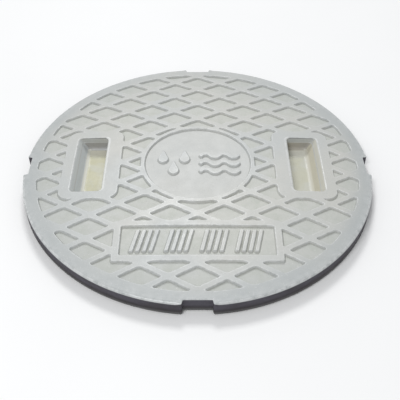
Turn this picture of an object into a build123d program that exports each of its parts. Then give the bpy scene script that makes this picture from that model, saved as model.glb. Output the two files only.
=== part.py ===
from build123d import *
import os
from math import asin, atan, cos, radians, sin, sqrt, tan

os.makedirs("parts", exist_ok=True)

# ---------------------------------------------------------------------------
# Round composite pit cover, 450 mm across, crowned top with a raised diamond
# tread, two hand pockets, a round emblem and a rectangular panel.
# +Z up, millimetres. Origin: centre of the flat face it rests on (the
# underside of the rubber seat ring). The panel is towards -Y.
# ---------------------------------------------------------------------------

# --- driving dimensions ----------------------------------------------------
cover_d = 450.0          # outside diameter of the slab
seat_proud = 1.5         # rubber seat ring stands this far below the slab
rim_h = 17.0             # slab thickness at the rim, to the rim-top plane
crown_rise = 10.0        # rise of the crown at the centre above that plane
crown_r = 246.4          # radius where the crown's sphere meets that plane
rim_edge_r = 3.0         # rounding of the top outer edge
relief = 3.2             # height of the tread above the recess floors

pitch_x = 32.625         # half pitch of the diamond tread, left to right
pitch_y = 18.72          # half pitch of the diamond tread, front to back
rib_w = 7.0              # width of a tread rib
tread_r = 208.0          # the tread stops here; a plain band runs outside

notch_w = 34.6           # the four rim notches
notch_depth = 6.4

ring_in_r = 68.9         # raised ring around the emblem
ring_out_r = 74.0

panel_w = 197.4          # raised frame of the front panel, outside
panel_y0, panel_y1 = -165.5, -105.0
panel_in_w = 181.0       # and inside
panel_in_y0, panel_in_y1 = -157.5, -113.0

pad_x0, pad_x1 = 100.0, 174.5   # smooth pads around the hand pockets
pad_half_l = 65.5
pad_corner = 14.0

open_x0, open_x1 = 121.0, 160.9  # hand pocket opening at the top surface
open_half_l = 51.9
open_corner = 5.0
pocket_depth = 19.4      # below the top surface
foot_x = 149.0           # where the sloping outer wall meets the floor
grip_x0 = 107.0          # fingers reach in under the lip as far as this

cup_wall = 3.0
cup_floor = 3.0
cup_corner = 6.5
foot_r = 8.0              # rounding where the sloping wall meets the floor
gasket_h = 1.5
flange_x0, flange_x1 = 90.0, 173.0
flange_half_l = 69.0
fit_gap = 0.4

screw_d = 4.9
screw_head_d = 9.2
screw_pts = [(97.0, 62.0), (97.0, 0.0), (97.0, -62.0),
             (166.5, 62.0), (166.5, 0.0), (166.5, -62.0)]
insert_od = 8.0
insert_id = 5.0
insert_l = 8.0

seat_r0, seat_r1 = 203.0, 213.0
seat_groove = 2.5

rod_d = 5.0
hoop_r = 197.0
rod_reach = 193.0

# --- levels ----------------------------------------------------------------
z_under = seat_proud
z_rim = z_under + rim_h
z_crown = z_rim + crown_rise
sphere_r = (crown_r ** 2 + crown_rise ** 2) / (2 * crown_rise)
cover_r = cover_d / 2


def crown_z(r):
    """Height of the raised surface at a distance r from the axis."""
    return z_crown - (sphere_r - sqrt(sphere_r ** 2 - r ** 2))


z_land = z_rim - 1.0                 # flat ceiling over each pocket cup
z_cup_top = z_land - gasket_h
z_surf_pocket = crown_z(open_x1)
z_floor = z_surf_pocket - pocket_depth
z_flange = z_floor - cup_floor
slope = (open_x1 - foot_x) / (z_surf_pocket - z_floor)


def wall_x(z):
    """X of the sloping outer pocket wall at height z."""
    return foot_x + slope * (z - z_floor)


# --- the crowned slab, before anything is cut ------------------------------
with BuildPart() as blank:
    with BuildSketch(Plane.XZ) as blank_profile:
        with BuildLine():
            Line((0, z_under), (cover_r, z_under))
            Line((cover_r, z_under), (cover_r, crown_z(cover_r)))
            ThreePointArc((cover_r, crown_z(cover_r)),
                          (cover_r / 2, crown_z(cover_r / 2)), (0, z_crown))
            Line((0, z_crown), (0, z_under))
        make_face()
        outer = blank_profile.vertices().group_by(Axis.X)[-1].sort_by(Axis.Y)
        fillet(outer[-1], radius=rim_edge_r)
        outer = blank_profile.vertices().group_by(Axis.X)[-1].sort_by(Axis.Y)
        chamfer(outer[0], length=1.0)
    revolve(axis=Axis.Z)

# --- everything that lies below the recess floors --------------------------
with BuildPart() as floor_body:
    with BuildSketch(Plane.XZ):
        with BuildLine():
            Line((0, -5), (cover_r + 10, -5))
            Line((cover_r + 10, -5), (cover_r + 10, crown_z(cover_r + 10) - relief))
            ThreePointArc((cover_r + 10, crown_z(cover_r + 10) - relief),
                          (cover_r / 2, crown_z(cover_r / 2) - relief),
                          (0, z_crown - relief))
            Line((0, z_crown - relief), (0, -5))
        make_face()
    revolve(axis=Axis.Z)

# --- plan of the recesses between the tread ribs ---------------------------
rib_angle = atan(pitch_y / pitch_x)
cell_hx = pitch_x - rib_w / 2 / sin(rib_angle)
cell_hy = pitch_y - rib_w / 2 / cos(rib_angle)
cells = [(k * pitch_x, m * pitch_y)
         for k in range(-7, 8) for m in range(-12, 13) if (k + m) % 2 == 0]
cells = [c for c in cells if sqrt(c[0] ** 2 + c[1] ** 2) < tread_r + 12]

with BuildSketch() as cell_plan:
    with Locations(*cells):
        Polygon((cell_hx, 0), (0, cell_hy), (-cell_hx, 0), (0, -cell_hy))
    Circle(tread_r, mode=Mode.INTERSECT)
    Circle(ring_out_r, mode=Mode.SUBTRACT)
    with Locations((0, (panel_y0 + panel_y1) / 2)):
        Rectangle(panel_w, panel_y1 - panel_y0, mode=Mode.SUBTRACT)
    with Locations(((pad_x0 + pad_x1) / 2, 0), (-(pad_x0 + pad_x1) / 2, 0)):
        RectangleRounded(pad_x1 - pad_x0, 2 * pad_half_l, pad_corner,
                         mode=Mode.SUBTRACT)
recess_faces = [f for f in cell_plan.sketch.faces() if f.area > 25.0]

# --- emblem: raindrops on the left, waves on the right ---------------------
drop_r = 6.6
drop_tip = 17.5
drop_pts = [(-45.0, 5.0), (-31.0, -17.0), (-17.0, 5.0)]
wave_y = [12.0, -3.0, -18.0]
wave_w = 5.0

beta = asin(drop_r / drop_tip)
with BuildSketch() as drop_plan:
    for cx, cy in drop_pts:
        with BuildLine():
            p1 = (cx + drop_r * cos(beta), cy + drop_r * sin(beta))
            p2 = (cx - drop_r * cos(beta), cy + drop_r * sin(beta))
            Line((cx, cy + drop_tip), p1)
            ThreePointArc(p1, (cx, cy - drop_r), p2)
            Line(p2, (cx, cy + drop_tip))
        make_face()

wave_dx = 12.0
wave_sag = 3.2
with BuildSketch() as wave_plan:
    for wy in wave_y:
        with BuildLine():
            for i in range(4):
                x0 = 4.5 + i * wave_dx
                up = wave_sag if i % 2 == 0 else -wave_sag
                ThreePointArc((x0, wy), (x0 + wave_dx / 2, wy + up),
                              (x0 + wave_dx, wy))
        trace(line_width=wave_w)

# --- panel: four blocks of slanted hazard bars -----------------------------
bar_lean = 7.0
bar_w = 4.4
bar_gap = 7.6
bar_y0, bar_y1 = -151.5, -119.5
block_x = [-62.0, -21.5, 19.5, 60.0]
with BuildSketch() as bar_plan:
    for bx in block_x:
        for i in range(4):
            x0 = bx - 1.5 * bar_gap + i * bar_gap - bar_w / 2 - bar_lean / 2
            with BuildLine():
                Polyline((x0, bar_y0), (x0 + bar_w, bar_y0),
                         (x0 + bar_w + bar_lean, bar_y1),
                         (x0 + bar_lean, bar_y1), close=True)
            make_face()

# --- the recess cutters: plan shapes raised, less the floor body -----------
with BuildPart() as recess_cutter:
    with BuildSketch():
        add(recess_faces)
        Circle(ring_in_r)
        add(drop_plan.sketch, mode=Mode.SUBTRACT)
        add(wave_plan.sketch, mode=Mode.SUBTRACT)
        with Locations((0, (panel_in_y0 + panel_in_y1) / 2)):
            Rectangle(panel_in_w, panel_in_y1 - panel_in_y0)
        add(bar_plan.sketch, mode=Mode.SUBTRACT)
    extrude(amount=z_crown + 10)
    add(floor_body.part, mode=Mode.SUBTRACT)

# --- the hand opening through the deck: one sloping and three upright walls -
with BuildPart() as opening_right:
    with BuildSketch(Plane.XZ.offset(-open_half_l)):
        with BuildLine():
            Polyline((open_x0, z_land - 1), (wall_x(z_land - 1), z_land - 1),
                     (wall_x(z_crown + 2), z_crown + 2),
                     (open_x0, z_crown + 2), close=True)
        make_face()
    extrude(amount=2 * open_half_l)
    upright = [e for e in opening_right.edges()
               if abs(e.tangent_at(0.5).Z) > 0.7]
    fillet(upright, radius=open_corner)

# --- steel reinforcement ---------------------------------------------------
z_rod_x = z_under + 2.0 + rod_d / 2
z_rod_y = z_rod_x + rod_d + 0.2


def reach(offset):
    return sqrt(rod_reach ** 2 - offset ** 2)


with BuildPart() as reinforcing_rods_cross:
    for y in (-155.0, -115.0, -75.0, -37.5, 0.0, 37.5, 75.0, 115.0, 155.0):
        half = 86.0 if abs(y) < 70 else reach(y)
        with BuildSketch(Plane.YZ.offset(-half)):
            with Locations((y, z_rod_x)):
                Circle(rod_d / 2)
        extrude(amount=2 * half)
reinforcing_rods_cross.part.label = "reinforcing_rods_cross"

with BuildPart() as reinforcing_rods_long:
    for x in (-84.0, -42.0, 0.0, 42.0, 84.0):
        half = reach(x)
        with BuildSketch(Plane.XZ.offset(-half)):
            with Locations((x, z_rod_y)):
                Circle(rod_d / 2)
        extrude(amount=2 * half)
reinforcing_rods_long.part.label = "reinforcing_rods_long"

with BuildPart() as reinforcing_hoop:
    with BuildSketch(Plane.XZ):
        with Locations((hoop_r, (z_rod_x + z_rod_y) / 2)):
            Circle(rod_d / 2)
    revolve(axis=Axis.Z)
reinforcing_hoop.part.label = "reinforcing_hoop"

# --- the moulded cover plate -----------------------------------------------
with BuildPart() as cover_plate:
    add(blank.part)
    # four notches in the rim, full height, sides slightly open outwards
    with BuildSketch():
        for a in (0, 90, 180, 270):
            with Locations(Location((0, 0, 0), (0, 0, a))):
                Polygon((cover_r - notch_depth, -notch_w / 2 + 1.0),
                        (cover_r + 6, -notch_w / 2 - 1.5),
                        (cover_r + 6, notch_w / 2 + 1.5),
                        (cover_r - notch_depth, notch_w / 2 - 1.0),
                        align=None)
    extrude(amount=z_crown, mode=Mode.SUBTRACT)
    # tread, emblem and panel recesses
    add(recess_cutter.part, mode=Mode.SUBTRACT)
    # hand openings through the deck, left and right
    add(opening_right.part, mode=Mode.SUBTRACT)
    mirror(opening_right.part, about=Plane.YZ, mode=Mode.SUBTRACT)
    # room for the cups, open at the underside
    cup_x1 = wall_x(z_cup_top) + 3.5
    with BuildSketch(Plane.XY.offset(z_under - 1)):
        for s in (1, -1):
            with Locations((s * (grip_x0 - cup_wall + cup_x1) / 2, 0)):
                RectangleRounded(cup_x1 - grip_x0 + cup_wall + 2 * fit_gap,
                                 2 * (open_half_l + cup_wall + fit_gap),
                                 cup_corner)
    extrude(amount=z_land - z_under + 1, mode=Mode.SUBTRACT)
    # rebates for the cup flanges
    with BuildSketch(Plane.XY.offset(z_under - 1)):
        for s in (1, -1):
            with Locations((s * (flange_x0 + flange_x1) / 2, 0)):
                RectangleRounded(flange_x1 - flange_x0 + 2 * fit_gap,
                                 2 * (flange_half_l + fit_gap), 8.0)
    extrude(amount=z_floor - z_under + 1, mode=Mode.SUBTRACT)
    # seats for the threaded inserts, and clearance beyond them
    with BuildSketch(Plane.XY.offset(z_floor - 0.5)):
        for s in (1, -1):
            with Locations(*[(s * x, y) for x, y in screw_pts]):
                Circle(insert_od / 2)
    extrude(amount=insert_l + 0.5, mode=Mode.SUBTRACT)
    # groove for the rubber seat ring
    with BuildSketch(Plane.XY.offset(z_under - 1)):
        Circle(seat_r1)
        Circle(seat_r0, mode=Mode.SUBTRACT)
    extrude(amount=seat_groove + 1, mode=Mode.SUBTRACT)
    # the steel lies bonded inside the slab
    add(reinforcing_rods_cross.part, mode=Mode.SUBTRACT)
    add(reinforcing_rods_long.part, mode=Mode.SUBTRACT)
    add(reinforcing_hoop.part, mode=Mode.SUBTRACT)
cover_plate.part.label = "cover_plate"

# --- hand pocket cup, entered from below -----------------------------------
with BuildPart() as pocket_hollow:
    with BuildSketch(Plane.XZ.offset(-open_half_l)) as hollow_profile:
        with BuildLine():
            Polyline((grip_x0, z_floor), (foot_x, z_floor),
                     (wall_x(z_land + 2), z_land + 2),
                     (grip_x0, z_land + 2), close=True)
        make_face()
        foot = hollow_profile.vertices().group_by(Axis.Y)[0].sort_by(Axis.X)[-1]
        fillet(foot, radius=foot_r)
    extrude(amount=2 * open_half_l)
    top_z = z_land + 2
    turned = [e for e in pocket_hollow.edges()
              if not (abs(e.center().Y) < 1 and e.center().X > grip_x0 + 1)
              and e.center().Z < top_z - 0.01]
    fillet(turned, radius=open_corner)

with BuildPart() as cup_outside:
    with BuildSketch(Plane.XZ.offset(-(open_half_l + cup_wall))):
        with BuildLine():
            Polyline((grip_x0 - cup_wall, z_floor - 1),
                     (foot_x + 3.5, z_floor - 1),
                     (foot_x + 3.5, z_floor),
                     (wall_x(z_cup_top) + 3.5, z_cup_top),
                     (grip_x0 - cup_wall, z_cup_top), close=True)
        make_face()
    extrude(amount=2 * (open_half_l + cup_wall))
    with BuildSketch(Plane.XY):
        with Locations(((grip_x0 + 0.5 + wall_x(z_cup_top)) / 2, 0)):
            RectangleRounded(wall_x(z_cup_top) + 3.5 - grip_x0 + cup_wall,
                             2 * (open_half_l + cup_wall), cup_corner)
    extrude(amount=z_crown, mode=Mode.INTERSECT)

with BuildPart() as hand_pocket_right:
    with BuildSketch(Plane.XY.offset(z_flange)):
        with Locations(((flange_x0 + flange_x1) / 2, 0)):
            RectangleRounded(flange_x1 - flange_x0, 2 * flange_half_l, 7.6)
    extrude(amount=cup_floor)
    add(cup_outside.part)
    add(pocket_hollow.part, mode=Mode.SUBTRACT)
    with BuildSketch(Plane.XY.offset(z_flange - 0.5)):
        with Locations(*screw_pts):
            Circle(2.75)
    extrude(amount=cup_floor + 1, mode=Mode.SUBTRACT)
    for x, y in screw_pts:
        with Locations((x, y, z_flange)):
            Cone(screw_head_d / 2 + 0.2, 2.75, screw_head_d / 2 + 0.2 - 2.75,
                 align=(Align.CENTER, Align.CENTER, Align.MIN),
                 mode=Mode.SUBTRACT)
hand_pocket_right.part.label = "hand_pocket_right"

with BuildPart() as hand_pocket_left:
    mirror(hand_pocket_right.part, about=Plane.YZ)
hand_pocket_left.part.label = "hand_pocket_left"

# --- gasket on the cup's upper edge ----------------------------------------
with BuildPart() as pocket_gasket_right:
    with BuildSketch(Plane.XY.offset(z_cup_top)):
        gx1 = wall_x(z_cup_top) + 3.4
        with Locations(((grip_x0 - cup_wall + gx1) / 2, 0)):
            RectangleRounded(gx1 - grip_x0 + cup_wall,
                             2 * (open_half_l + cup_wall), cup_corner)
    extrude(amount=gasket_h)
    add(pocket_hollow.part, mode=Mode.SUBTRACT)
pocket_gasket_right.part.label = "pocket_gasket_right"

with BuildPart() as pocket_gasket_left:
    mirror(pocket_gasket_right.part, about=Plane.YZ)
pocket_gasket_left.part.label = "pocket_gasket_left"

# --- threaded inserts and countersunk screws -------------------------------
with BuildPart() as pocket_inserts_right:
    with BuildSketch(Plane.XY.offset(z_floor)):
        with Locations(*screw_pts):
            Circle(insert_od / 2)
            Circle(insert_id / 2, mode=Mode.SUBTRACT)
    extrude(amount=insert_l)
pocket_inserts_right.part.label = "pocket_inserts_right"

with BuildPart() as pocket_inserts_left:
    mirror(pocket_inserts_right.part, about=Plane.YZ)
pocket_inserts_left.part.label = "pocket_inserts_left"

head_h = (screw_head_d - screw_d) / 2
with BuildPart() as pocket_screws_right:
    with Locations(*[(x, y, z_flange) for x, y in screw_pts]):
        Cone(screw_head_d / 2, screw_d / 2, head_h,
             align=(Align.CENTER, Align.CENTER, Align.MIN))
    with BuildSketch(Plane.XY.offset(z_flange + head_h)):
        with Locations(*screw_pts):
            Circle(screw_d / 2)
    extrude(amount=z_floor + insert_l - 1.0 - z_flange - head_h)
    with BuildSketch(Plane.XY.offset(z_flange)):
        with Locations(*screw_pts):
            RegularPolygon(radius=1.5, side_count=6, major_radius=False)
    extrude(amount=1.6, mode=Mode.SUBTRACT)
pocket_screws_right.part.label = "pocket_screws_right"

with BuildPart() as pocket_screws_left:
    mirror(pocket_screws_right.part, about=Plane.YZ)
pocket_screws_left.part.label = "pocket_screws_left"

# --- rubber seat ring ------------------------------------------------------
with BuildPart() as seat_ring:
    with BuildSketch(Plane.XY):
        Circle(seat_r1 - 0.1)
        Circle(seat_r0 + 0.1, mode=Mode.SUBTRACT)
    extrude(amount=z_under + seat_groove)
    fillet(seat_ring.edges().group_by(Axis.Z)[0], radius=0.8)
seat_ring.part.label = "seat_ring"

# --- write one STEP for each piece -----------------------------------------
export_step(cover_plate.part, "parts/cover_plate.step")
export_step(hand_pocket_left.part, "parts/hand_pocket_left.step")
export_step(hand_pocket_right.part, "parts/hand_pocket_right.step")
export_step(pocket_gasket_left.part, "parts/pocket_gasket_left.step")
export_step(pocket_gasket_right.part, "parts/pocket_gasket_right.step")
export_step(pocket_inserts_left.part, "parts/pocket_inserts_left.step")
export_step(pocket_inserts_right.part, "parts/pocket_inserts_right.step")
export_step(pocket_screws_left.part, "parts/pocket_screws_left.step")
export_step(pocket_screws_right.part, "parts/pocket_screws_right.step")
export_step(seat_ring.part, "parts/seat_ring.step")
export_step(reinforcing_hoop.part, "parts/reinforcing_hoop.step")
export_step(reinforcing_rods_cross.part, "parts/reinforcing_rods_cross.step")
export_step(reinforcing_rods_long.part, "parts/reinforcing_rods_long.step")
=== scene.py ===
import math

import bmesh
import bpy
import numpy as np
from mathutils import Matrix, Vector
from mathutils.geometry import delaunay_2d_cdt


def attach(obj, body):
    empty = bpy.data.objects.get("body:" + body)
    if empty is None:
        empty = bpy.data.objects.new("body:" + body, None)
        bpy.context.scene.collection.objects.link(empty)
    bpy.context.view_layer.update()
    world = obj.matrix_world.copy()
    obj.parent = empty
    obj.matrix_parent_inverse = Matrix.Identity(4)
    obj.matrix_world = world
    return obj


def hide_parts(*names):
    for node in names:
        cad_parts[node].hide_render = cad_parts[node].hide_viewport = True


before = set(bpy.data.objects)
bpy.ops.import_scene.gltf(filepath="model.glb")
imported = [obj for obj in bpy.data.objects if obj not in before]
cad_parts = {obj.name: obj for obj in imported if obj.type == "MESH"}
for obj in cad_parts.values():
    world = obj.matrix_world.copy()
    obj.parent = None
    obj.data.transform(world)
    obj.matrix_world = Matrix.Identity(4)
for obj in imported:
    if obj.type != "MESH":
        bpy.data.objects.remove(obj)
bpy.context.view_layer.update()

MM = 0.001

# ---------------------------------------------------------------------------
# Sizes, in millimetres, as in the CAD model
# ---------------------------------------------------------------------------
R = 225.0
Z_UNDER, Z_RIM, Z_CROWN = 1.5, 18.5, 28.5
CROWN_R, RISE = 246.4, 10.0
SPHERE = (CROWN_R ** 2 + RISE ** 2) / (2 * RISE)
PX, PY, RIB = 32.625, 18.72, 7.0
HYP = math.hypot(PX, PY)
CELL_IN = PX * PY / HYP - RIB / 2
TREAD_R = 208.0
NOTCH_IN = 218.6
RING_IN, RING_OUT = 68.9, 74.0
OPEN_X0, OPEN_X1, OPEN_L, OPEN_C = 121.0, 160.9, 51.9, 5.0
FOOT_X, DEPTH = 149.0, 19.4
Z_LAND = Z_RIM - 1.0
GRIP_X0 = 107.0


def crown(r):
    return Z_CROWN - (SPHERE - np.sqrt(SPHERE ** 2 - r ** 2))


Z_SURF = float(crown(OPEN_X1))
Z_FLOOR = Z_SURF - DEPTH
SLOPE = (OPEN_X1 - FOOT_X) / DEPTH


# ---------------------------------------------------------------------------
# Signed distances in plan: negative inside a shape
# ---------------------------------------------------------------------------
def meet(ds, rho):
    """The common part of several shapes, its outer corners rounded to rho."""
    m = np.maximum.reduce(ds)
    u = [np.maximum(d + rho, 0.0) ** 2 for d in ds]
    return np.minimum(m, -rho) + np.sqrt(sum(u))


def round_rect(x, y, cx, cy, hx, hy, c):
    qx, qy = np.abs(x - cx) - hx + c, np.abs(y - cy) - hy + c
    return (np.hypot(np.maximum(qx, 0), np.maximum(qy, 0))
            + np.minimum(np.maximum(qx, qy), 0) - c)


def teardrop(x, y, cx, cy, r1, r2, h):
    px, py = np.abs(x - cx), y - cy
    b = (r1 - r2) / h
    a = math.sqrt(1 - b * b)
    k = -b * px + a * py
    low = np.hypot(px, py) - r1
    top = np.hypot(px, py - h) - r2
    return np.where(k < 0, low, np.where(k > a * h, top, px * a + py * b - r1))


def path_distance(x, y, pts):
    best = np.full(np.shape(x), 1e9)
    for (ax, ay), (bx, by) in zip(pts[:-1], pts[1:]):
        dx, dy = bx - ax, by - ay
        t = np.clip(((x - ax) * dx + (y - ay) * dy) / (dx * dx + dy * dy), 0, 1)
        best = np.minimum(best, np.hypot(x - ax - t * dx, y - ay - t * dy))
    return best


DROPS = [(-45.0, 5.0), (-31.0, -17.0), (-17.0, 5.0)]
WAVE_Y = [12.0, -3.0, -18.0]
BLOCKS = [-62.0, -21.5, 19.5, 60.0]


def wave_line(wy):
    pts = []
    rad = (6.0 ** 2 + 3.2 ** 2) / (2 * 3.2)
    for i in range(4):
        x0 = 4.5 + 12.0 * i
        up = 1 if i % 2 == 0 else -1
        for t in np.linspace(0, 1, 9)[:-1]:
            dx = 12.0 * t - 6.0
            pts.append((x0 + 12.0 * t,
                        wy + up * (math.sqrt(rad ** 2 - dx * dx) - rad + 3.2)))
    pts.append((52.5, wy))
    return pts


WAVES = [wave_line(wy) for wy in WAVE_Y]


def emblem(x, y):
    d = np.full(np.shape(x), 1e9)
    for cx, cy in DROPS:
        d = np.minimum(d, teardrop(x, y, cx, cy, 6.6, 0.5, 16.6))
    for w in WAVES:
        d = np.minimum(d, path_distance(x, y, w) - 2.5)
    return d


def bars(x, y):
    d = np.full(np.shape(x), 1e9)
    lean, w, gap, y0, y1 = 7.0, 4.4, 7.6, -151.5, -119.5
    c = math.hypot(lean, y1 - y0)
    for bx in BLOCKS:
        for i in range(4):
            mx = bx - 1.5 * gap + i * gap
            side = ((x - mx) * (y1 - y0) - (y - (y0 + y1) / 2) * lean) / c
            hw = w / 2 * (y1 - y0) / c
            d = np.minimum(d, meet([side - hw, -side - hw, y - y1, y0 - y], 0.9))
    return d


def cell_index(x, y):
    p, q = x / PX, y / PY
    u, v = np.round((p + q) / 2), np.round((p - q) / 2)
    return u + v, u - v


SMALL_CELLS = set()


def cells(x, y):
    k, m = cell_index(x, y)
    dx, dy = x - k * PX, y - m * PY
    e1 = (PY * dx + PX * dy) / HYP
    e2 = (PY * dx - PX * dy) / HYP
    r = np.hypot(x, y)
    d = meet([e1 - CELL_IN, -e1 - CELL_IN, e2 - CELL_IN, -e2 - CELL_IN,
              r - TREAD_R, RING_OUT - r,
              -round_rect(x, y, 0, -135.25, 98.7, 30.25, 2.6),
              -round_rect(np.abs(x), y, 137.25, 0, 37.25, 65.5, 14.0)], 2.6)
    for kk, mm in SMALL_CELLS:
        d = np.where((k == kk) & (m == mm), 6.0, d)
    return d


def medallion(x, y):
    near = (np.hypot(x, y) < 72.0)
    e = np.full(np.shape(x), 30.0)
    if np.any(near):
        e[near] = emblem(x[near], y[near])
    return meet([np.hypot(x, y) - RING_IN, -e], 0.9)


def panel(x, y):
    near = (np.abs(x) < 96) & (y > -164) & (y < -106)
    e = np.full(np.shape(x), 30.0)
    if np.any(near):
        e[near] = bars(x[near], y[near])
    return meet([round_rect(x, y, 0, -135.25, 90.5, 22.25, 2.6), -e], 0.9)


def recess(x, y):
    """Distance inside the nearest recess, positive inside."""
    x, y = np.asarray(x, float), np.asarray(y, float)
    return -np.minimum.reduce([cells(x, y), medallion(x, y), panel(x, y)])


def notch(x, y):
    d = np.full(np.shape(x), 1e9)
    for ux, uy in ((1, 0), (-1, 0), (0, 1), (0, -1)):
        u, v = x * ux + y * uy, np.abs(-x * uy + y * ux)
        side = (v - 16.3 - 0.2016 * (u - NOTCH_IN)) / math.hypot(1, 0.2016)
        d = np.minimum(d, meet([NOTCH_IN - u, side], 0.7))
    return d


def outline(x, y):
    """Distance inside the slab's outline, positive inside."""
    return -meet([np.hypot(x, y) - R, -notch(x, y)], 1.6)


# ---------------------------------------------------------------------------
# Contours of a distance field
# ---------------------------------------------------------------------------
def grad(f, x, y, h=2e-3):
    return (f(x + h, y) - f(x - h, y)) / (2 * h), (f(x, y + h) - f(x, y - h)) / (2 * h)


def settle(f, x, y, level, steps=5, cap=1.5):
    """Moves points along the field's slope until they lie on a level."""
    level = np.broadcast_to(np.asarray(level, float), x.shape)
    for _ in range(steps):
        gx, gy = grad(f, x, y)
        g2 = np.maximum(gx * gx + gy * gy, 0.25)
        e = np.clip(level - f(x, y), -cap, cap)
        x, y = x + e * gx / g2, y + e * gy / g2
    return x, y


def sample(f, reach, step):
    ax = np.linspace(-reach, reach, int(2 * reach / step) + 1)
    X, Y = np.meshgrid(ax, ax)
    return ax, f(X, Y)


def contours(field, level):
    """Closed loops where a sampled field equals level, with its higher side on the left."""
    ax, F = field
    F = F - level
    F[F == 0] = 1e-9
    inside = F > 0

    def cross(j0, i0, j1, i1):
        a, b = F[j0, i0], F[j1, i1]
        t = a / (a - b)
        return (ax[i0] + t * (ax[i1] - ax[i0]), ax[j0] + t * (ax[j1] - ax[j0]))

    code = (inside[:-1, :-1] * 1 + inside[:-1, 1:] * 2
            + inside[1:, 1:] * 4 + inside[1:, :-1] * 8)
    nxt = {}
    pairs = {1: [(3, 0)], 2: [(0, 1)], 3: [(3, 1)], 4: [(1, 2)], 6: [(0, 2)],
             7: [(3, 2)], 8: [(2, 3)], 9: [(2, 0)], 11: [(2, 1)], 12: [(1, 3)],
             13: [(1, 0)], 14: [(0, 3)], 5: [(3, 0), (1, 2)], 10: [(0, 1), (2, 3)]}
    js, is_ = np.nonzero((code > 0) & (code < 15))
    for j, i in zip(js.tolist(), is_.tolist()):
        edge = ((0, j, i), (1, j, i + 1), (0, j + 1, i), (1, j, i))
        for a, b in pairs[int(code[j, i])]:
            nxt[edge[a]] = edge[b]
    loops, seen = [], set()
    for start in nxt:
        if start in seen:
            continue
        loop, e = [], start
        while e is not None and e not in seen:
            seen.add(e)
            kind, j, i = e
            loop.append(cross(j, i, j, i + 1) if kind == 0 else cross(j, i, j + 1, i))
            e = nxt.get(e)
        if e == start and len(loop) > 6:
            loops.append(np.array(loop)[::-1])
    return loops


def thin_out(p, tol, longest):
    """A closed loop with few points on its straights and many in its bends."""
    n = len(p)
    start = int(np.argmax(np.hypot(*(p - p.mean(0)).T)))
    p = np.roll(p, -start, axis=0)
    far = int(np.argmax(np.hypot(*(p - p[0]).T)))
    q = np.vstack([p, p[:1]])
    keep = {0, far, n}
    stack = [(0, far), (far, n)]
    while stack:
        a, b = stack.pop()
        if b - a < 2:
            continue
        d = q[b] - q[a]
        length = math.hypot(*d)
        w = q[a + 1:b] - q[a]
        off = np.abs(d[0] * w[:, 1] - d[1] * w[:, 0]) / max(length, 1e-9)
        k = int(np.argmax(off))
        if off[k] > tol:
            keep.add(a + 1 + k)
            stack += [(a, a + 1 + k), (a + 1 + k, b)]
    marks = sorted(keep)
    out = []
    for a, b in zip(marks[:-1], marks[1:]):
        seg = np.hypot(*np.diff(q[a:b + 1], axis=0).T)
        total = seg.sum()
        parts = max(1, int(math.ceil(total / longest)))
        s = np.concatenate([[0], np.cumsum(seg)])
        for i in range(parts):
            t = total * i / parts
            out.append([np.interp(t, s, q[a:b + 1, 0]), np.interp(t, s, q[a:b + 1, 1])])
    return np.array(out)


def area(p):
    x, y = p[:, 0], p[:, 1]
    return 0.5 * float(np.sum(x * np.roll(y, -1) - y * np.roll(x, -1)))


# ---------------------------------------------------------------------------
# A mesh under construction
# ---------------------------------------------------------------------------
class Build:
    def __init__(self):
        self.co, self.faces, self.attr, self.nor = [], [], [], []

    def points(self, x, y, z, cav=0.0, edge=0.0, nor=None):
        x, y, z, cav, edge = np.broadcast_arrays(*[np.asarray(v, float) for v in (x, y, z, cav, edge)])
        first = len(self.co)
        self.co += list(zip(x.tolist(), y.tolist(), z.tolist()))
        self.attr += list(zip(cav.tolist(), edge.tolist()))
        self.nor += [None] * len(x) if nor is None else nor.tolist()
        return list(range(first, len(self.co)))

    def strip(self, a, b):
        """Quads between two closed loops of as many points."""
        n = len(a)
        for i in range(n):
            j = (i + 1) % n
            self.faces.append((a[i], a[j], b[j], b[i]))

    def mesh(self, name):
        me = bpy.data.meshes.new(name)
        me.from_pydata([(x * MM, y * MM, z * MM) for x, y, z in self.co], [], self.faces)
        for k, label in enumerate(("cavity", "edge")):
            at = me.attributes.new(label, "FLOAT", "POINT")
            at.data.foreach_set("value", [a[k] for a in self.attr])
        at = me.attributes.new("known_normal", "FLOAT_VECTOR", "POINT")
        at.data.foreach_set("vector", [c for n in self.nor for c in (n or (0, 0, 0))])
        bm = bmesh.new()
        bm.from_mesh(me)
        bmesh.ops.delete(bm, geom=[v for v in bm.verts if not v.link_faces], context="VERTS")
        bmesh.ops.recalc_face_normals(bm, faces=bm.faces)
        if bm.calc_volume(signed=True) < 0:
            bmesh.ops.reverse_faces(bm, faces=bm.faces)
        bm.to_mesh(me)
        bm.free()
        for f in me.polygons:
            f.use_smooth = True
        me.update()
        ob = bpy.data.objects.new(name, me)
        bpy.context.scene.collection.objects.link(ob)
        return ob


def set_normals(me, angle=32.0):
    """Keeps sharp edges sharp, and gives the worked-out normals where there are any."""
    me.set_sharp_from_angle(angle=math.radians(angle))
    n = len(me.vertices)
    known = np.zeros(n * 3)
    me.attributes["known_normal"].data.foreach_get("vector", known)
    known = known.reshape(-1, 3)
    have = np.hypot(np.hypot(known[:, 0], known[:, 1]), known[:, 2]) > 0.5
    corner = np.zeros(len(me.loops) * 3)
    me.corner_normals.foreach_get("vector", corner)
    corner = corner.reshape(-1, 3)
    vert = np.zeros(len(me.loops), int)
    me.loops.foreach_get("vertex_index", vert)
    use = have[vert]
    corner[use] = known[vert][use]
    me.normals_split_custom_set(corner.tolist())
    me.attributes.remove(me.attributes["known_normal"])


def in_loop(px, py, loop):
    """Whether a point lies inside a closed loop of (index, x, y)."""
    x = np.array([v[1] for v in loop])
    y = np.array([v[2] for v in loop])
    x2, y2 = np.roll(x, -1), np.roll(y, -1)
    hit = (y > py) != (y2 > py)
    with np.errstate(divide="ignore", invalid="ignore"):
        at = x + (py - y) / (y2 - y) * (x2 - x)
    return bool(np.sum(hit & (px < at)) % 2)


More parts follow.
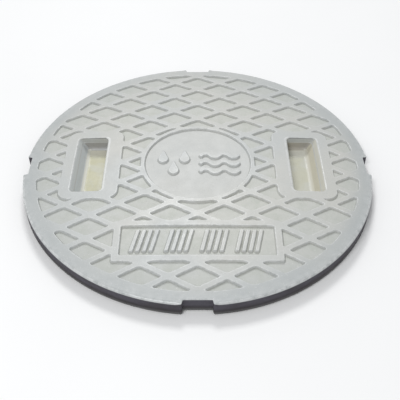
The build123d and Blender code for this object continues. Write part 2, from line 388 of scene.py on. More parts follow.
def regions(loops, extra, make=None):
    """Triangles between closed loops of (index, x, y), in groups that no loop crosses."""
    verts, edges, ids = [], [], []
    for loop in loops:
        b = len(verts)
        n = len(loop)
        for k, x, y in loop:
            ids.append(k)
            verts.append(Vector((x, y)))
        edges += [(b + i, b + (i + 1) % n) for i in range(n)]
    for k, x, y in extra:
        ids.append(k)
        verts.append(Vector((x, y)))
    out_v, out_e, out_f, src_v, src_e, _ = delaunay_2d_cdt(verts, edges, [], 0, 1e-7)
    fixed = {tuple(sorted(e)) for e, s in zip(out_e, src_e) if s}
    name = [ids[s[0]] if s else (make(v.x, v.y) if make else None)
            for v, s in zip(out_v, src_v)]
    owner = {}
    for t, f in enumerate(out_f):
        for i in range(3):
            e = tuple(sorted((f[i], f[(i + 1) % 3])))
            owner.setdefault(e, []).append(t)
    group = [-1] * len(out_f)
    groups = []
    for t in range(len(out_f)):
        if group[t] >= 0:
            continue
        g = len(groups)
        group[t] = g
        stack, mine = [t], []
        while stack:
            c = stack.pop()
            mine.append(c)
            f = out_f[c]
            for i in range(3):
                e = tuple(sorted((f[i], f[(i + 1) % 3])))
                if e in fixed:
                    continue
                for o in owner[e]:
                    if group[o] < 0:
                        group[o] = g
                        stack.append(o)
        tris, cen, wts = [], [], []
        for c in mine:
            f = out_f[c]
            p = [out_v[i] for i in f]
            a2 = abs((p[1] - p[0]).cross(p[2] - p[0]))
            cen.append(((p[0].x + p[1].x + p[2].x) / 3, (p[0].y + p[1].y + p[2].y) / 3))
            wts.append(a2)
            tris.append(tuple(name[i] for i in f))
        big = cen[int(np.argmax(wts))]
        groups.append((tris, big))
    return groups


# ---------------------------------------------------------------------------
# The cover plate
# ---------------------------------------------------------------------------
# across a recess edge: how far inside, how deep
RELIEF = 3.2
EDGE_PROFILE = [(-1.8, 0.0), (-0.85, 0.0), (-0.5, 0.06), (-0.2, 0.22), (0.03, 0.5),
                (0.2, 0.95), (0.62, 2.4), (0.8, 2.8), (1.15, 3.11), (1.7, 3.2)]


def build_plate():
    b = Build()
    # very small corners of the tread are left solid
    ax = np.arange(-212, 212.1, 1.0)
    X, Y = np.meshgrid(ax, ax)
    k, m = cell_index(X, Y)
    ins = cells(X, Y) < 0
    for kk in np.unique(k):
        for mm in np.unique(m):
            n = int(np.sum(ins & (k == kk) & (m == mm)))
            if 0 < n < 40:
                SMALL_CELLS.add((float(kk), float(mm)))

    levels = np.array([p[0] for p in EDGE_PROFILE])
    depths = np.array([p[1] for p in EDGE_PROFILE])
    slopes = np.gradient(depths, levels)
    slopes[[0, 1, -1]] = 0.0

    def top_point(x, y, s=None):
        """A point of the top surface with its own normal."""
        x, y = np.atleast_1d(np.asarray(x, float)), np.atleast_1d(np.asarray(y, float))
        val = recess(x, y) if s is None else np.full(x.shape, s)
        h = np.interp(val, levels, depths)
        slope = np.interp(val, levels, slopes)
        r = np.hypot(x, y)
        gx, gy = grad(recess, x, y)
        gl = np.maximum(np.hypot(gx, gy), 1e-6)
        gx, gy = gx / gl, gy / gl
        rise = -1.0 / np.sqrt(SPHERE ** 2 - r ** 2)
        n = np.stack([-(x * rise - gx * slope), -(y * rise - gy * slope), np.ones_like(x)], 1)
        n /= np.sqrt((n ** 2).sum(1))[:, None]
        # edge marks the rounded top edges, where the material paints a highlight and lowers roughness
        edge = np.interp(val, [-1.8, -0.8, -0.2, 0.2, 0.7], [0, 0.45, 1, 0.9, 0])
        return b.points(x, y, crown(r) - h, cav=h / RELIEF, edge=edge, nor=n)

    field = sample(recess, 212.0, 0.5)
    level_loops = []
    for s in levels:
        for raw in contours(field, s):
            if abs(area(raw)) < 3.0:
                continue
            p = thin_out(raw, 0.010, 5.0)
            x, y = settle(recess, p[:, 0], p[:, 1], s, steps=3, cap=0.1)
            level_loops.append(list(zip(top_point(x, y, s), x.tolist(), y.tolist())))

    # the rim's outline, its rounded edge, and down to the underside
    raw = max(contours(sample(outline, 230.0, 0.5), 0.0), key=lambda p: abs(area(p)))
    p = thin_out(raw, 0.012, 5.0)
    x, y = settle(outline, p[:, 0], p[:, 1], 0.0)
    if area(np.stack([x, y], 1)) < 0:
        x, y = x[::-1].copy(), y[::-1].copy()
    away = np.clip((notch(x, y) - 0.8) / 6.0, 0, 1)
    away = away * away * (3 - 2 * away)
    re = 1.0 + 1.9 * away
    gx, gy = grad(outline, x, y)
    gl = np.hypot(gx, gy)
    gx, gy = gx / gl, gy / gl
    rim = []
    for deg in (0, 15, 32, 50, 70, 90, None):
        if deg is None:
            off, drop = re + 0.2 + 0.9 * away, 0 * re
        else:
            a = math.radians(deg)
            off, drop = re * (1 - math.cos(a)), re * (1 - math.sin(a))
        lx, ly = x + gx * off, y + gy * off
        # the rim's rounding is marked for the material's painted highlight
        edge = 0.9 if deg in (32, 50, 70) else 0.25
        rim.append((lx, ly, b.points(lx, ly, crown(np.hypot(lx, ly)) - drop, edge=edge)))
    for lo, hi in zip(rim[:-1], rim[1:]):
        b.strip(lo[2], hi[2])
    top_outer = list(zip(rim[-1][2], rim[-1][0].tolist(), rim[-1][1].tolist()))
    low = [b.points(x, y, np.full(x.shape, 2.7), edge=0.2),
           b.points(x + gx * 0.3, y + gy * 0.3, np.full(x.shape, 1.95), edge=0.5),
           b.points(x + gx * 1.0, y + gy * 1.0, np.full(x.shape, Z_UNDER), edge=0.3)]
    b.strip(low[0], rim[0][2])
    b.strip(low[1], low[0])
    b.strip(low[2], low[1])
    under_outer = list(zip(low[2], (x + gx).tolist(), (y + gy).tolist()))

    def circle(r, z, n=360):
        a = np.linspace(0, 2 * np.pi, n, endpoint=False)
        cx, cy = r * np.cos(a), r * np.sin(a)
        return cx, cy, b.points(cx, cy, np.full(n, z))

    def rect_loop(x0, x1, hl, c, side, per=9):
        """A rounded rectangle in plan, anticlockwise for side 1."""
        pts = []
        corners = [(x1 - c, hl - c, 0), (x0 + c, hl - c, 90),
                   (x0 + c, -hl + c, 180), (x1 - c, -hl + c, 270)]
        for cx, cy, a0 in corners:
            for t in np.linspace(0, 90, per):
                a = math.radians(a0 + t)
                pts.append((cx + c * math.cos(a), cy + c * math.sin(a)))
        out = []
        n = len(pts)
        for i in range(n):
            ax_, ay_ = pts[i]
            bx_, by_ = pts[(i + 1) % n]
            d = math.hypot(bx_ - ax_, by_ - ay_)
            parts = max(1, int(math.ceil(d / 6.0)))
            for q in range(parts):
                out.append((ax_ + (bx_ - ax_) * q / parts, ay_ + (by_ - ay_) * q / parts))
        out = np.array(out)
        out[:, 0] *= side
        return out

    # hand openings: rounded upper edge, deck walls, ceiling over the cup
    open_tops, lands, land_outers = [], [], []
    for side in (1, -1):
        base = rect_loop(OPEN_X0, OPEN_X1, OPEN_L, OPEN_C, side)
        cen = np.array([side * (OPEN_X0 + OPEN_X1) / 2, 0.0])
        nx = np.roll(base, -1, 0) - np.roll(base, 1, 0)
        nrm = np.stack([nx[:, 1], -nx[:, 0]], 1)
        nrm /= np.hypot(*nrm.T)[:, None]
        if np.sum((base - cen) * nrm) < 0:
            nrm = -nrm
        # the outer wall leans, so its upper edge turns through less than 90
        w = np.clip((np.abs(base[:, 0]) - OPEN_X0) / (OPEN_X1 - OPEN_X0), 0, 1)
        lean = np.arctan(SLOPE * w * np.maximum(side * nrm[:, 0], 0))
        base[:, 0] -= side * w * SLOPE * (Z_SURF - crown(np.hypot(base[:, 0], base[:, 1])))
        ro = (1.3 + 2.5 * np.maximum(-side * nrm[:, 0], 0) ** 2
              + 1.5 * np.maximum(-nrm[:, 1], 0) ** 2
              + 1.2 * np.maximum(side * nrm[:, 0], 0) ** 2)
        tang = ro * np.tan((np.pi / 2 - lean) / 2)
        rings = []
        for k in (6, 5, 4, 3, 2, 1, 0):
            a = lean + (np.pi / 2 - lean) * k / 6
            off, drop = tang - ro * np.cos(a), ro * (1 - np.sin(a))
            q = base + nrm * off[:, None]
            # inner edges are marked 1.7 for the material's painted highlight
            rings.append((q, b.points(q[:, 0], q[:, 1], crown(np.hypot(q[:, 0], q[:, 1])) - drop,
                                      edge=np.where(-side * nrm[:, 0] > 0.5, 1.7, 0.6)
                                      if k not in (6, 0) else np.where(-side * nrm[:, 0] > 0.5, 0.9, 0.2))))
        # support loop on the pad
        q = base + nrm * (tang + 1.0)[:, None]
        sup = b.points(q[:, 0], q[:, 1], crown(np.hypot(q[:, 0], q[:, 1])))
        order = [ids for _, ids in rings]
        b.strip(*((sup, order[0]) if side == 1 else (order[0], sup)))
        for ia, ib in zip(order[:-1], order[1:]):
            b.strip(*((ia, ib) if side == 1 else (ib, ia)))
        open_tops.append(list(zip(sup, q[:, 0].tolist(), q[:, 1].tolist())))
        prev = order[-1]
        surf = crown(np.hypot(base[:, 0], base[:, 1]))
        for z in (20.0, Z_LAND):
            q = base.copy()
            q[:, 0] -= side * w * SLOPE * (surf - z)
            cur = b.points(q[:, 0], q[:, 1], np.full(len(q), z), cav=0.3)
            b.strip(*((prev, cur) if side == 1 else (cur, prev)))
            prev = cur
        lands.append(list(zip(prev, q[:, 0].tolist(), q[:, 1].tolist())))
        x1 = FOOT_X + SLOPE * (Z_LAND - 1.5 - Z_FLOOR) + 3.9
        outer = rect_loop(GRIP_X0 - 3.4, x1, OPEN_L + 3.4, 6.5, side)
        oi = b.points(outer[:, 0], outer[:, 1], np.full(len(outer), Z_LAND), cav=0.5)
        land_outers.append(list(zip(oi, outer[:, 0].tolist(), outer[:, 1].tolist())))
        lo_i = b.points(outer[:, 0], outer[:, 1], np.full(len(outer), Z_FLOOR), cav=0.5)
        b.strip(*((oi, lo_i) if side == 1 else (lo_i, oi)))
        reb = rect_loop(89.6, 173.4, 69.4, 8.0, side)
        ri = b.points(reb[:, 0], reb[:, 1], np.full(len(reb), Z_FLOOR))
        ru = b.points(reb[:, 0], reb[:, 1], np.full(len(reb), Z_UNDER))
        b.strip(*((ri, ru) if side == 1 else (ru, ri)))
        # ceilings: deck over the cup, and the rebate for the flange
        for outer_l, inner_l, flip in (
                (land_outers[-1], lands[-1], True),
                (list(zip(ri, reb[:, 0].tolist(), reb[:, 1].tolist())),
                 list(zip(lo_i, outer[:, 0].tolist(), outer[:, 1].tolist())), True)):
            for tris, (gx_, gy_) in regions([outer_l, inner_l], []):
                if in_loop(gx_, gy_, outer_l) and not in_loop(gx_, gy_, inner_l):
                    b.faces += tris
        if side == 1:
            reb_under = [list(zip(ru, reb[:, 0].tolist(), reb[:, 1].tolist()))]
        else:
            reb_under.append(list(zip(ru, reb[:, 0].tolist(), reb[:, 1].tolist())))

    # fill: ribs, ring, frame, pads, band and all the recess floors
    g = np.arange(-218, 218.1, 9.0)
    X, Y = np.meshgrid(g, g)
    X[1::2] += 4.5
    X, Y = X.ravel(), Y.ravel()
    S = recess(X, Y)
    op = round_rect(np.abs(X), Y, (OPEN_X0 + OPEN_X1) / 2, 0,
                    (OPEN_X1 - OPEN_X0) / 2, OPEN_L, OPEN_C)
    keep = (outline(X, Y) > 6.5) & (op > 7.0) & ((S < -3.8) | (S > 3.8))
    X, Y, S = X[keep], Y[keep], S[keep]
    grid_pts = list(zip(top_point(X, Y), X.tolist(), Y.tolist()))
    for tris, (gx_, gy_) in regions(level_loops + open_tops + [top_outer], grid_pts,
                                    lambda px_, py_: top_point(px_, py_)[0]):
        if in_loop(gx_, gy_, top_outer) and not any(in_loop(gx_, gy_, o) for o in open_tops):
            b.faces += tris

    # the underside, with the groove for the seat ring
    c1x, c1y, c1 = circle(213.0, Z_UNDER)
    c1u = circle(213.0, Z_UNDER + 2.5)
    c0x, c0y, c0 = circle(203.0, Z_UNDER)
    c0u = circle(203.0, Z_UNDER + 2.5)
    b.strip(c1u[2], c1)
    b.strip(c0, c0u[2])
    b.strip(c0u[2], c1u[2])
    c1l, c0l = (list(zip(c1, c1x.tolist(), c1y.tolist())),
                list(zip(c0, c0x.tolist(), c0y.tolist())))
    for tris, (gx_, gy_) in regions([under_outer, c1l], []):
        if in_loop(gx_, gy_, under_outer) and not in_loop(gx_, gy_, c1l):
            b.faces += tris
    gu = [(px_, py_) for px_ in np.arange(-190, 191, 20.0) for py_ in np.arange(-190, 191, 20.0)
          if math.hypot(px_, py_) < 197 and not (84 < abs(px_) < 179 and abs(py_) < 75)]
    gui = b.points([q[0] for q in gu], [q[1] for q in gu], np.full(len(gu), Z_UNDER))
    for tris, (gx_, gy_) in regions([c0l] + reb_under, [(i, q[0], q[1]) for i, q in zip(gui, gu)]):
        if in_loop(gx_, gy_, c0l) and not any(in_loop(gx_, gy_, o) for o in reb_under):
            b.faces += tris
    return b


plate_build = build_plate()
plate = plate_build.mesh("cover_plate_moulding")
set_normals(plate.data)
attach(plate, "root")
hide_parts("cover_plate")


# ---------------------------------------------------------------------------
# Camera: in front, looking down at about 41 degrees
# ---------------------------------------------------------------------------
def aim_camera():
    el, dist = 0.72042, 3.9101 * R
    roll, yaw, pitch = -0.00054, 0.00345, -0.04978
    ce, se = math.cos(el), math.sin(el)
    right, up, fwd = Vector((1, 0, 0)), Vector((0, se, ce)), Vector((0, ce, -se))
    r1 = right * math.cos(yaw) - fwd * math.sin(yaw)
    f1 = right * math.sin(yaw) + fwd * math.cos(yaw)
    u2 = up * math.cos(pitch) - f1 * math.sin(pitch)
    f2 = up * math.sin(pitch) + f1 * math.cos(pitch)
    r3 = r1 * math.cos(roll) + u2 * math.sin(roll)
    u3 = u2 * math.cos(roll) - r1 * math.sin(roll)
    cam = bpy.data.cameras.new("camera")
    cam.sensor_width = 36.0
    cam.lens = 671.648 / 400 * 36.0
    cam.clip_start, cam.clip_end = 0.01, 100.0
    ob = bpy.data.objects.new("camera", cam)
    bpy.context.scene.collection.objects.link(ob)
    place = Vector((0, -ce * dist, se * dist + Z_RIM)) * MM
    m = ob.matrix_world.copy()
    for i in range(3):
        m[i][0], m[i][1], m[i][2], m[i][3] = r3[i], u3[i], -f2[i], place[i]
    ob.matrix_world = m
    bpy.context.scene.camera = ob


aim_camera()

# ---------------------------------------------------------------------------
# Materials
# ---------------------------------------------------------------------------
def srgb(*c):
    out = []
    for v in c:
        v = v / 255.0
        out.append(v / 12.92 if v <= 0.04045 else ((v + 0.055) / 1.055) ** 2.4)
    return (*out, 1.0)


class Nodes:
    """A short way to write a node material."""

    def __init__(self, name):
        self.mat = bpy.data.materials.new(name)
        self.mat.use_nodes = True
        self.nt = self.mat.node_tree
        self.bsdf = self.nt.nodes["Principled BSDF"]
        self.coord = self.nt.nodes.new("ShaderNodeTexCoord").outputs["Object"]

    def link(self, a, b):
        self.nt.links.new(a, b)

    def put(self, sock, value):
        if isinstance(value, bpy.types.NodeSocket):
            self.link(value, sock)
        else:
            sock.default_value = value

    def noise(self, scale, detail=4.0, rough=0.55, distortion=0.0, vec=None, out="Fac"):
        n = self.nt.nodes.new("ShaderNodeTexNoise")
        n.inputs["Scale"].default_value = scale
        n.inputs["Detail"].default_value = detail
        n.inputs["Roughness"].default_value = rough
        n.inputs["Distortion"].default_value = distortion
        self.link(vec or self.coord, n.inputs["Vector"])
        return n.outputs[out]

    def voronoi(self, scale, feature="F1", vec=None, out="Distance"):
        n = self.nt.nodes.new("ShaderNodeTexVoronoi")
        n.feature = feature
        n.inputs["Scale"].default_value = scale
        self.link(vec or self.coord, n.inputs["Vector"])
        return n.outputs[out]

    def stretch(self, sx, sy, sz):
        n = self.nt.nodes.new("ShaderNodeMapping")
        n.inputs["Scale"].default_value = (sx, sy, sz)
        self.link(self.coord, n.inputs["Vector"])
        return n.outputs["Vector"]

    def remap(self, value, a, b, c=0.0, d=1.0):
        n = self.nt.nodes.new("ShaderNodeMapRange")
        n.interpolation_type = "SMOOTHSTEP"
        self.put(n.inputs["Value"], value)
        for k, v in zip(("From Min", "From Max", "To Min", "To Max"), (a, b, c, d)):
            n.inputs[k].default_value = v
        return n.outputs["Result"]

    def math(self, op, a, b=0.0, clamp=False):
        n = self.nt.nodes.new("ShaderNodeMath")
        n.operation = op
        n.use_clamp = clamp
        self.put(n.inputs[0], a)
        self.put(n.inputs[1], b)
        return n.outputs[0]

    def mix(self, fac, a, b, mode="MIX"):
        n = self.nt.nodes.new("ShaderNodeMix")
        n.data_type = "RGBA"
        n.blend_type = mode
        self.put(n.inputs[0], fac)
        self.put(n.inputs[6], a)
        self.put(n.inputs[7], b)
        return n.outputs[2]

    def attribute(self, name):
        n = self.nt.nodes.new("ShaderNodeAttribute")
        n.attribute_name = name
        return n.outputs["Fac"]

    def axis(self, k):
        n = self.nt.nodes.new("ShaderNodeSeparateXYZ")
        self.link(self.coord, n.inputs[0])
        return n.outputs[k]

    def normal_axis(self, k):
        g = self.nt.nodes.new("ShaderNodeNewGeometry")
        n = self.nt.nodes.new("ShaderNodeSeparateXYZ")
        self.link(g.outputs["Normal"], n.inputs[0])
        return n.outputs[k]

    def bump(self, height, strength, distance, normal=None):
        n = self.nt.nodes.new("ShaderNodeBump")
        n.inputs["Strength"].default_value = strength
        n.inputs["Distance"].default_value = distance
        self.link(height, n.inputs["Height"])
        if normal is not None:
            self.link(normal, n.inputs["Normal"])
        return n.outputs["Normal"]

    def finish(self, colour=None, rough=None, normal=None, metallic=None):
        if colour is not None:
            self.put(self.bsdf.inputs["Base Color"], colour)
        if rough is not None:
            self.put(self.bsdf.inputs["Roughness"], rough)
        if normal is not None:
            self.link(normal, self.bsdf.inputs["Normal"])
        if metallic is not None:
            self.bsdf.inputs["Metallic"].default_value = metallic
        return self.mat


def cover_material(rim=False):
    m = Nodes("rim_painted_shade_composite" if rim else "moulded_grey_composite")
    cav, rounded_edge = m.attribute("cavity"), m.attribute("edge")
    edge = m.math("MINIMUM", rounded_edge, 1.0)
    x, y, z = m.axis(0), m.axis(1), m.axis(2)
    # slow drift of tone, cooler and warmer
    cloud = m.noise(8.0, 3.0, 0.5, 0.3)
    cloud2 = m.noise(24.0, 4.0, 0.6, 0.5)
    base = m.mix(m.remap(cloud, 0.35, 0.65), srgb(189, 192, 191), srgb(195, 195, 190))
    base = m.mix(m.remap(cloud2, 0.45, 0.75, 0.0, 0.5), base, srgb(187, 189, 186))
    # painted shade: the plain band outside the pattern is darker where the sheen falls off towards the rim, least at
    # the back
    rad = m.math("SQRT", m.math("ADD", m.math("MULTIPLY", x, x), m.math("MULTIPLY", y, y)))
    band_shade = m.math("MULTIPLY", m.remap(rad, 0.188, 0.220), m.remap(y, 0.19, 0.08, 0.3, 1.0))
    band_shade = m.math("MULTIPLY", band_shade, m.remap(m.noise(14.0, 4.0, 0.6, 0.4), 0.3, 0.62, 0.7, 1.0))
    base = m.mix(band_shade, base, srgb(176, 180, 180))
    # recess floors hold a little dust; painted sheen makes the smooth field in the ring paler, and painted shade
    # darkens the floors towards the rim
    dust = m.noise(70.0, 5.0, 0.7, 0.4)
    floor_tone = m.mix(m.remap(dust, 0.35, 0.7), srgb(196, 197, 190), srgb(184, 187, 179))
    centre_sheen = m.remap(rad, 0.0700, 0.0675)
    floor_tone = m.mix(centre_sheen, floor_tone, srgb(201, 202, 199))
    floor_tone = m.mix(m.remap(rad, 0.13, 0.21, 0.0, 0.5), floor_tone, srgb(178, 181, 177))
    base = m.mix(m.math("MULTIPLY", m.remap(cav, 0.7, 1.0), m.remap(dust, 0.3, 0.75, 0.45, 0.95)), base, floor_tone)
    # painted shade: a thin dark line where wall meets floor
    wall_foot_shade = m.math("MULTIPLY", m.remap(cav, 0.7, 0.93), m.remap(cav, 1.0, 0.96))
    wall_foot_shade = m.math("MULTIPLY", wall_foot_shade, m.remap(dust, 0.3, 0.7, 0.06, 0.4))
    base = m.mix(wall_foot_shade, base, srgb(132, 130, 119))
    # fine filler specks
    specks = m.remap(m.noise(900.0, 2.0, 0.5), 0.60, 0.72, 0.0, 0.4)
    base = m.mix(specks, base, srgb(158, 159, 156))
    light = m.remap(m.noise(620.0, 2.0, 0.5), 0.62, 0.74, 0.0, 0.45)
    base = m.mix(light, base, srgb(220, 220, 218))
    # painted highlight: the rounded edges are paler, in patches
    edge_highlight = m.math("MULTIPLY", edge, m.remap(m.noise(140.0, 4.0, 0.7), 0.35, 0.6))
    base = m.mix(m.math("MULTIPLY", edge_highlight, 0.6), base, srgb(226, 227, 227))
    # painted highlight: the openings' inner edges are palest, more so on the left one
    opening_edge_highlight = m.math("MULTIPLY", m.remap(rounded_edge, 1.0, 1.5), m.remap(m.noise(180.0, 4.0, 0.7), 0.25, 0.5, 0.75, 1.0))
    opening_edge_highlight = m.math("MULTIPLY", opening_edge_highlight, m.remap(x, -0.02, 0.02, 0.95, 0.4))
    base = m.mix(opening_edge_highlight, base, srgb(230, 231, 228))
    # scuffs across the tops
    streak = m.noise(1.0, 5.0, 0.7, 0.2, vec=m.stretch(30, 420, 100))
    streak2 = m.noise(1.0, 5.0, 0.7, 0.2, vec=m.stretch(380, 45, 100))
    scuff = m.math("MAXIMUM", m.remap(streak, 0.62, 0.72), m.remap(streak2, 0.64, 0.74))
    scuff = m.math("MULTIPLY", scuff, m.remap(cav, 0.3, 0.0))
    base = m.mix(m.math("MULTIPLY", scuff, 0.2), base, srgb(170, 171, 168))
    # painted shade: the upright rim is darker, in patches, and darkest at its lower edge
    up = m.normal_axis(2)
    side = m.math("MULTIPLY", m.remap(m.math("ABSOLUTE", up), 0.34, 0.1), m.remap(cav, 0.05, 0.0))
    # noise that breaks the rim's painted shade into patches
    stain = m.noise(38.0, 5.0, 0.65, 0.3, vec=m.stretch(1, 1, 3))
    dark = m.mix(m.remap(stain, 0.3, 0.7), srgb(84, 82, 90), srgb(71, 68, 73))
    dark = m.mix(m.remap(z, 0.0125, 0.004, 0.0, 0.85), dark, srgb(44, 39, 37))
    base = m.mix(side, base, dark)
    # faces turned downward are darker, in patches
    downward_patches = m.math("MULTIPLY", m.remap(up, -0.5, -0.8), m.remap(m.noise(17.0, 5.0, 0.65, 0.6), 0.3, 0.68, 0.25, 0.9))
    base = m.mix(downward_patches, base, srgb(142, 141, 133))
    # the deck's edge inside the hand openings is paler like the cup walls; its tone is painted light, cool as in
    # shade on the left and warm as lit on the right
    ax, ay = m.math("ABSOLUTE", x), m.math("ABSOLUTE", y)
    opening_wall_mask = m.math("MULTIPLY", m.remap(ax, 0.150, 0.1525), m.remap(ax, 0.1655, 0.1635))
    opening_wall_mask = m.math("MULTIPLY", opening_wall_mask, m.remap(ay, 0.0525, 0.0505))
    opening_wall_mask = m.math("MULTIPLY", opening_wall_mask, m.remap(m.math("ABSOLUTE", m.normal_axis(0)), 0.5, 0.85))
    opening_wall_light_tone = m.mix(m.remap(x, -0.02, 0.02), srgb(214, 218, 218), srgb(213, 211, 198))
    base = m.mix(m.math("MULTIPLY", opening_wall_mask, 0.8), base, opening_wall_light_tone)
    # painted shade: the rim's lower chamfer, facing down and out, is near black
    low = m.math("MULTIPLY", m.remap(z, 0.0031, 0.0026), m.remap(rad, 0.2150, 0.2215))
    base = m.mix(m.math("MULTIPLY", low, m.remap(up, 0.0, -0.15)), base, srgb(40, 37, 36))
    rough = m.math("ADD", m.remap(m.noise(45.0, 4.0, 0.6), 0.3, 0.7, 0.36, 0.47),
                   m.math("MULTIPLY", cav, 0.1))
    rough = m.math("SUBTRACT", rough, m.math("MULTIPLY", edge, 0.15))
    if rim:
        rough = m.math("ADD", rough, m.math("MULTIPLY", side, 0.25))
        m.bsdf.inputs["Specular IOR Level"].default_value = 0.18
    fine = m.noise(1500.0, 3.0, 0.6)
    coarse = m.noise(210.0, 4.0, 0.55)
    n1 = m.bump(coarse, 0.35, 0.0004)
    n2 = m.bump(fine, 0.35, 0.00012, n1)
    n3 = m.bump(scuff, 0.15, 0.00005, n2)
    return m.finish(base, rough, n3)


def pocket_material():
    m = Nodes("moulded_cream_plastic")
    x, y, up = m.axis(0), m.axis(1), m.normal_axis(2)
    cloud = m.noise(22.0, 4.0, 0.55, 0.4)
    # painted light: the left cup's walls are cool as in shade, the right cup's warm as lit
    right = m.remap(x, -0.02, 0.02)
    wall = m.mix(right, srgb(190, 195, 197), srgb(190, 184, 166))
    wall = m.mix(m.remap(cloud, 0.3, 0.7, 0.0, 0.5), wall, srgb(182, 181, 172))
    # painted shade on the far walls, which face the front
    far_wall_shade = m.remap(m.normal_axis(1), -0.25, -0.7)
    wall = m.mix(m.math("MULTIPLY", far_wall_shade, m.remap(cloud, 0.3, 0.7, 0.5, 0.75)), wall, srgb(162, 159, 156))
    # the outer walls are paler; their tone is painted light, cool as in shade in the left cup and warm as lit in the
    # right
    across = m.remap(m.math("ABSOLUTE", m.normal_axis(0)), 0.45, 0.8)
    wall = m.mix(m.math("MULTIPLY", across, 0.75), wall, m.mix(right, srgb(214, 219, 221), srgb(214, 210, 192)))
    flat = m.mix(right, srgb(185, 185, 167), srgb(191, 192, 183))
    base = m.mix(m.remap(up, 0.88, 1.0), wall, flat)
    # painted highlight along the rounded foot of the walls, stronger in the left cup
    fillet_highlight = m.math("MULTIPLY", m.remap(up, 0.62, 0.8), m.remap(up, 0.995, 0.93))
    fillet_highlight = m.math("MULTIPLY", fillet_highlight, m.remap(m.math("ABSOLUTE", m.normal_axis(0)), 0.05, 0.3))
    fillet_highlight = m.math("MULTIPLY", fillet_highlight, m.remap(right, 0.0, 1.0, 0.85, 0.45))
    base = m.mix(fillet_highlight, base, srgb(226, 225, 214))
    # painted light on the far end of the floor, in place of the far wall's shadow
    far = m.math("MULTIPLY", m.remap(y, 0.032, 0.042), m.remap(up, 0.9, 1.0))
    base = m.mix(m.math("MULTIPLY", far, 0.85), base, m.mix(right, srgb(214, 211, 196), srgb(222, 221, 210)))
    # a cream tone on the floor, in patches, short of its far end
    cream_patches = m.math("MULTIPLY", m.remap(m.noise(26.0, 5.0, 0.65, 0.5), 0.38, 0.58), m.remap(up, 0.95, 1.0))
    cream_patches = m.math("MULTIPLY", cream_patches, m.remap(right, 0.0, 1.0, 0.8, 0.4))
    cream_patches = m.math("MULTIPLY", cream_patches, m.remap(y, 0.041, 0.031))
    base = m.mix(cream_patches, base, srgb(180, 177, 143))
    dirt = m.math("MULTIPLY", m.remap(m.noise(48.0, 5.0, 0.7, 0.6), 0.58, 0.78), 0.35)
    base = m.mix(dirt, base, srgb(152, 147, 128))
    # faces turned downward are darker, in patches
    cup_downward_patches = m.math("MULTIPLY", m.remap(up, -0.4, -0.8), m.remap(m.noise(31.0, 5.0, 0.65, 0.5), 0.3, 0.65, 0.35, 0.95))
    base = m.mix(cup_downward_patches, base, srgb(158, 154, 141))
    specks = m.remap(m.noise(700.0, 2.0, 0.5), 0.66, 0.74, 0.0, 0.35)
    base = m.mix(specks, base, srgb(140, 132, 108))
    rough = m.remap(m.noise(60.0, 4.0, 0.6), 0.3, 0.7, 0.28, 0.42)
    n1 = m.bump(m.noise(160.0, 4.0, 0.5), 0.25, 0.0004)
    n2 = m.bump(m.noise(1300.0, 2.0, 0.5), 0.25, 0.0001, n1)
    return m.finish(base, rough, n2)


def rubber_material(name, a, b, mould):
    m = Nodes(name)
    base = m.mix(m.remap(m.noise(55.0, 5.0, 0.65), 0.35, 0.7), a, b)
    bloom = m.remap(m.noise(320.0, 4.0, 0.7), 0.55, 0.75, 0.0, 0.35)
    base = m.mix(bloom, base, mould)
    rough = m.remap(m.noise(90.0, 4.0, 0.6), 0.3, 0.7, 0.62, 0.85)
    n = m.bump(m.noise(800.0, 4.0, 0.6), 0.4, 0.00015)
    return m.finish(base, rough, n)


def metal_material(name, a, b, rough0, rough1, stretch):
    m = Nodes(name)
    grain = m.noise(1.0, 4.0, 0.6, vec=m.stretch(*stretch))
    base = m.mix(m.remap(grain, 0.3, 0.7), a, b)
    stain = m.remap(m.noise(260.0, 5.0, 0.7), 0.58, 0.78, 0.0, 0.6)
    base = m.mix(stain, base, srgb(96, 82, 66))
    rough = m.remap(m.noise(300.0, 4.0, 0.6), 0.3, 0.7, rough0, rough1)
    n = m.bump(grain, 0.3, 0.00006)
    return m.finish(base, rough, n, metallic=1.0)


MAT = {
    "cover": cover_material(),
    "rim": cover_material(rim=True),
    "pocket": pocket_material(),
    "gasket": rubber_material("grey_gasket_rubber", srgb(204, 206, 204), srgb(195, 196, 193), srgb(208, 209, 206)),
    "seat": rubber_material("black_seat_rubber", srgb(34, 34, 35), srgb(46, 45, 44), srgb(92, 90, 86)),
    "screw": metal_material("stainless_screw", srgb(178, 178, 176), srgb(150, 150, 148), 0.28, 0.46, (1500, 1500, 3000)),
    "insert": metal_material("turned_brass", srgb(190, 158, 92), srgb(168, 136, 74), 0.3, 0.45, (900, 900, 5000)),
    "rod": metal_material("mill_steel", srgb(96, 92, 90), srgb(72, 66, 62), 0.5, 0.7, (500, 500, 500)),
}

plate.data.materials.append(MAT["cover"])
plate.data.materials.append(MAT["rim"])
# faces of the upright rim take the second material, whose colour holds painted shade
for face in plate.data.polygons:
    c, up = face.center, face.normal.z
    if math.hypot(c.x, c.y) > 0.2175 and up < 0.36 and (up > -0.3 or c.z > 0.0016):
        face.material_index = 1


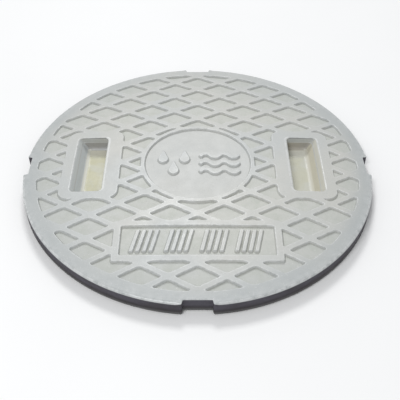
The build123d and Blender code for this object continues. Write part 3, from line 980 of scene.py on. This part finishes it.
def dress(node, key):
    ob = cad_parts[node]
    if not ob.material_slots:
        ob.data.materials.append(MAT[key])
    for slot in ob.material_slots:
        slot.material = MAT[key]


for side in ("left", "right"):
    dress("hand_pocket_" + side, "pocket")
    dress("pocket_gasket_" + side, "gasket")
    dress("pocket_inserts_" + side, "insert")
    dress("pocket_screws_" + side, "screw")
dress("seat_ring", "seat")
dress("reinforcing_hoop", "rod")
dress("reinforcing_rods_cross", "rod")
dress("reinforcing_rods_long", "rod")

# ---------------------------------------------------------------------------
# Floor, light
# ---------------------------------------------------------------------------
def floor():
    m = Nodes("pale_floor")
    base = m.mix(m.remap(m.noise(2.0, 3.0, 0.5), 0.3, 0.7), srgb(250, 250, 250), srgb(247, 247, 247))
    m.finish(base, 0.9)
    me = bpy.data.meshes.new("floor")
    s = 12.0
    me.from_pydata([(-s, -s, 0), (s, -s, 0), (s, s, 0), (-s, s, 0)], [], [(0, 1, 2, 3)])
    me.materials.append(m.mat)
    ob = bpy.data.objects.new("floor", me)
    ob.location.z = -0.0002
    bpy.context.scene.collection.objects.link(ob)


def area_light(name, place, target, size, size_y, power, colour=(1, 1, 1)):
    li = bpy.data.lights.new(name, "AREA")
    li.shape = "RECTANGLE"
    li.size, li.size_y, li.energy, li.color = size, size_y, power, colour
    ob = bpy.data.objects.new(name, li)
    ob.location = place
    d = Vector(target) - Vector(place)
    ob.rotation_euler = d.to_track_quat("-Z", "Y").to_euler()
    bpy.context.scene.collection.objects.link(ob)


floor()
area_light("key", (-0.12, 1.95, 2.3), (0, 0, 0), 0.9, 0.7, 36.0)
area_light("front_top", (-0.62, -1.18, 1.8), (0, 0, 0), 0.8, 0.5, 19.0)

world = bpy.data.worlds.new("studio")
world.use_nodes = True
world.node_tree.nodes["Background"].inputs[0].default_value = (0.96, 0.98, 1.0, 1.0)
world.node_tree.nodes["Background"].inputs[1].default_value = 0.44
bpy.context.scene.world = world
bpy.context.scene.view_settings.view_transform = "Standard"
bpy.context.scene.view_settings.look = "None"
